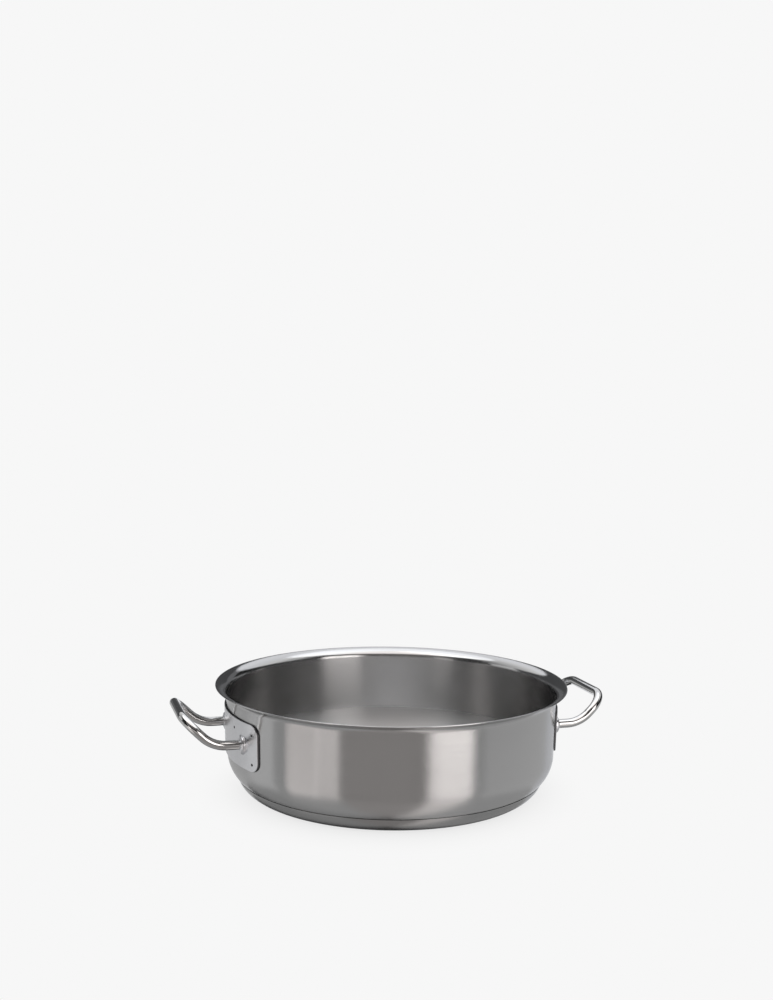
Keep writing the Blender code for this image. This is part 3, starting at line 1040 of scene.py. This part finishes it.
WARM = (1.0, 0.950, 0.930, 1.0)
PLAIN = (0.97, 0.97, 0.97, 1.0)
COOL = (0.955, 0.965, 1.0, 1.0)
WHITE = (1.0, 1.0, 1.0, 1.0)
TINTS = (
    # azimuth from, degrees to the right of the camera, and the tint of the lights from there
    (-72, WARM), (55, PLAIN), (117, COOL), (203, PLAIN), (288, WARM),
)
RINGS = (
    # name, elevation from and to, and each card's azimuth from and strength
    ("card_under", -89.9, -30.0, (
        (-33, 0.34), (25, 0.74), (55, 0.38), (155, 0.04), (218, 0.32), (266, 0.38),
    )),
    ("card_low", -30.0, 0.0, (
        (-33, 0.28), (14, 0.26), (25, 0.70), (32, 0.87), (48, 0.94), (55, 0.40), (64, 0.53),
        (131, 0.60), (155, 0.86), (203, 0.49), (250, 0.59), (277, 0.40), (288, 0.86), (312, 0.67),
    )),
    ("card_level", 0.0, 12.0, (
        (-33, 0.56), (25, 3.30), (55, 0.02), (131, 0.32), (155, 0.17), (170, 0.15), (250, 0.33),
        (277, 0.20), (288, 0.02), (312, 1.55),
    )),
    ("card_over", 12.0, 30.0, (
        (-33, 0.04), (25, 2.20), (55, 0.02), (155, 0.18), (170, 0.08), (250, 0.70), (277, 0.02),
        (312, 0.20),
    )),
    ("card_raised", 30.0, 55.0, (
        (-33, 0.15), (25, 0.10), (55, 0.03), (66, 0.15), (76, 0.38), (86, 0.62), (106, 0.86),
        (131, 0.92), (155, 1.00), (203, 0.88), (218, 0.70), (236, 0.58), (250, 0.42), (262, 0.26),
        (272, 0.12), (282, 0.03), (312, 0.16),
    )),
    ("card_top", 55.0, 89.9, (
        (-33, 1.45), (30, 1.45), (55, 1.60), (80, 1.75), (100, 1.80), (120, 1.70), (145, 1.60),
        (170, 1.50), (236, 1.60), (251, 1.95), (266, 2.35), (281, 2.40), (300, 1.95), (315, 1.60),
    )),
)
CARD_DISTANCE = 1.6
CARD_STEP, CARD_ROWS = 3.0, 4
# Radius and height of the floor and of the dark disc that metal sees under the pan, a painted
# shadow of the pan on the floor
FLOOR_PLACE = (12.0, -0.0003)
PAINTED_SHADOW_PLACE = (0.121, -0.0001)
# Brightness of that painted shadow disc
PAINTED_SHADOW_GLOW = 0.04
# Distances between which plain background takes over from the lit floor, and its first share
SHADOW_FROM, SHADOW_TO = 0.105, 0.175
SHADOW_VEIL = 0.80


def glow(name, strength, tint=PLAIN):
    graph = new_material(name)
    shader = graph.add("ShaderNodeEmission", None, {"Color": tint, "Strength": strength})
    return graph.surface(shader)


def camera_side(azimuth):
    """Horizontal direction so many degrees round from the camera's, seen from above."""
    turn = bpy.context.scene.pan_stage.azimuth + radians(azimuth)
    return Vector((sin(turn), -cos(turn), 0.0))


def only_reflected(name, mesh, material):
    """Stage object that nothing but metal sees."""
    mesh.materials.append(material)
    card = add_object(name, mesh)
    card.visible_camera = card.visible_diffuse = card.visible_shadow = False


def disc(name, radius, height, sides=96):
    """Flat round sheet that faces up."""
    ring = [on_circle((0.0, 0.0), radius, tau * index / sides) for index in range(sides)]
    mesh = bpy.data.meshes.new(name)
    mesh.from_pydata([(*spot, height) for spot in ring], [], [range(sides)])
    return mesh


def reflected_card(name, start, end, low, high, strength):
    """Glowing piece of a ball round the pan, between two azimuths and two elevations."""
    columns = max(2, round((end - start) / CARD_STEP))
    points, faces = [], []
    for row in range(CARD_ROWS + 1):
        level = radians(low + (high - low) * row / CARD_ROWS)
        height = Vector((0.0, 0.0, sin(level)))
        for column in range(columns + 1):
            side = camera_side(start + (end - start) * column / columns)
            points.append(CARD_DISTANCE * (side * cos(level) + height))
    for row in range(CARD_ROWS):
        for column in range(columns):
            first = row * (columns + 1) + column
            faces.append((first, first + 1, first + columns + 2, first + columns + 1))
    mesh = bpy.data.meshes.new(name)
    mesh.from_pydata(points, [], faces)
    tint = [tint for azimuth, tint in TINTS if azimuth <= start][-1]
    only_reflected(name, mesh, glow(name, strength, tint))


def seen_directly(graph):
    """1 on rays from the camera, from metal and through glass, 0 on all others."""
    path = graph.add("ShaderNodeLightPath")
    return path.at_least(path.other("Is Glossy Ray")).at_least(path.other("Is Transmission Ray"))


def floor_material(background):
    """Pale floor with the pan's shadow close to it and plain background farther out."""
    graph = new_material("studio_floor")
    away = graph.add("ShaderNodeVectorMath", {"operation": "LENGTH"}, {0: graph.place()}, output=1)
    pale = (background, background, background, 1.0)
    lit = graph.add("ShaderNodeBsdfDiffuse", None, {"Color": pale})
    flat = graph.add("ShaderNodeEmission", None, {"Color": pale, "Strength": 1.0})
    share = seen_directly(graph) * away.between(SHADOW_FROM, SHADOW_TO, SHADOW_VEIL, 1.0)
    return graph.surface(graph.add("ShaderNodeMixShader", None, {0: share, 1: lit, 2: flat}))


def make_floor(background):
    mesh = disc("studio_floor", *FLOOR_PLACE)
    mesh.materials.append(floor_material(background))
    floor = add_object("studio_floor", mesh)
    floor.visible_glossy = False
    # Only metal sees this dark disc under the pan: a painted shadow on the floor, which metal does
    # not see itself
    only_reflected("painted_shadow_card", disc("painted_shadow_card", *PAINTED_SHADOW_PLACE), glow("painted_shadow_card", PAINTED_SHADOW_GLOW))


def make_world(background):
    world = bpy.data.worlds.new("studio_world")
    graph = emptied(world)
    level = 1.0 + seen_directly(graph) * (background - 1.0)
    shader = graph.add("ShaderNodeBackground", None, {"Color": WHITE, "Strength": level})
    graph.add("ShaderNodeOutputWorld", None, {"Surface": shader})
    bpy.context.scene.world = world


def make_cards():
    for ring, low, high, cards in RINGS:
        ends = [start for start, _ in cards[1:]] + [cards[0][0] + 360.0]
        for index, ((start, strength), end) in enumerate(zip(cards, ends), start=1):
            reflected_card(f"{ring}_{index:02d}", start, end, low, high, strength)


def make_camera(stage, aim_height):
    data = bpy.data.cameras.new("studio_camera")
    data.lens = stage.lens
    data.shift_x = stage.shift_x
    data.shift_y = stage.shift_y
    camera = add_object("studio_camera", data)
    level = cos(stage.elevation)
    back = camera_side(0.0) * level + Vector((0.0, 0.0, sin(stage.elevation)))
    turned = Matrix.Rotation(stage.roll, 4, "Z").to_quaternion()
    camera.rotation_mode = "QUATERNION"
    camera.rotation_quaternion = back.to_track_quat("Z", "Y") @ turned
    camera.location = Vector((0.0, 0.0, aim_height)) + back * stage.distance
    bpy.context.scene.camera = camera


class PAN_OT_stage(bpy.types.Operator):
    """Make the floor, the lights and the camera"""

    bl_idname = "pan.stage"
    bl_label = "Stage"

    def execute(self, context):
        scene = context.scene
        scene.view_settings.view_transform = "Standard"
        make_floor(scene.pan_stage.background)
        make_world(scene.pan_stage.background)
        make_cards()
        make_camera(scene.pan_stage, scene.pan_shell.height / 2.0)
        return {"FINISHED"}


# Sidebar

SECTIONS = (
    ("pan_shell", PanSettings, ("pan.shell",)),
    ("pan_base", BaseSettings, ("pan.base",)),
    ("pan_handle", HandleSettings, ("pan.plates", "pan.bars")),
    ("pan_welds", WeldSettings, ("pan.welds",)),
    ("pan_stage", StageSettings, ("pan.stage",)),
)


class PAN_PT_panel(bpy.types.Panel):
    """Steps that dress the pan, with their settings"""

    bl_idname = "PAN_PT_panel"
    bl_label = "Low casserole pan"
    bl_space_type = "VIEW_3D"
    bl_region_type = "UI"
    bl_category = "Pan"

    def draw(self, context):
        for group, _, operators in SECTIONS:
            box = self.layout.box()
            settings = getattr(context.scene, group)
            for name in settings.__annotations__:
                box.prop(settings, name)
            for operator in operators:
                box.operator(operator)


CLASSES = (
    *(settings for _, settings, _ in SECTIONS),
    PAN_OT_shell, PAN_OT_base, PAN_OT_plates, PAN_OT_bars, PAN_OT_welds, PAN_OT_stage,
    PAN_PT_panel,
)


def register():
    for item in CLASSES:
        bpy.utils.register_class(item)
    for name, settings, _ in SECTIONS:
        setattr(bpy.types.Scene, name, bpy.props.PointerProperty(type=settings))


def unregister():
    for name, _, _ in SECTIONS:
        delattr(bpy.types.Scene, name)
    for item in reversed(CLASSES):
        bpy.utils.unregister_class(item)


def main():
    register()
    bpy.ops.pan.shell()
    bpy.ops.pan.base()
    bpy.ops.pan.plates()
    bpy.ops.pan.bars()
    bpy.ops.pan.welds()
    bpy.ops.pan.stage()


if __name__ == "__main__":
    main()
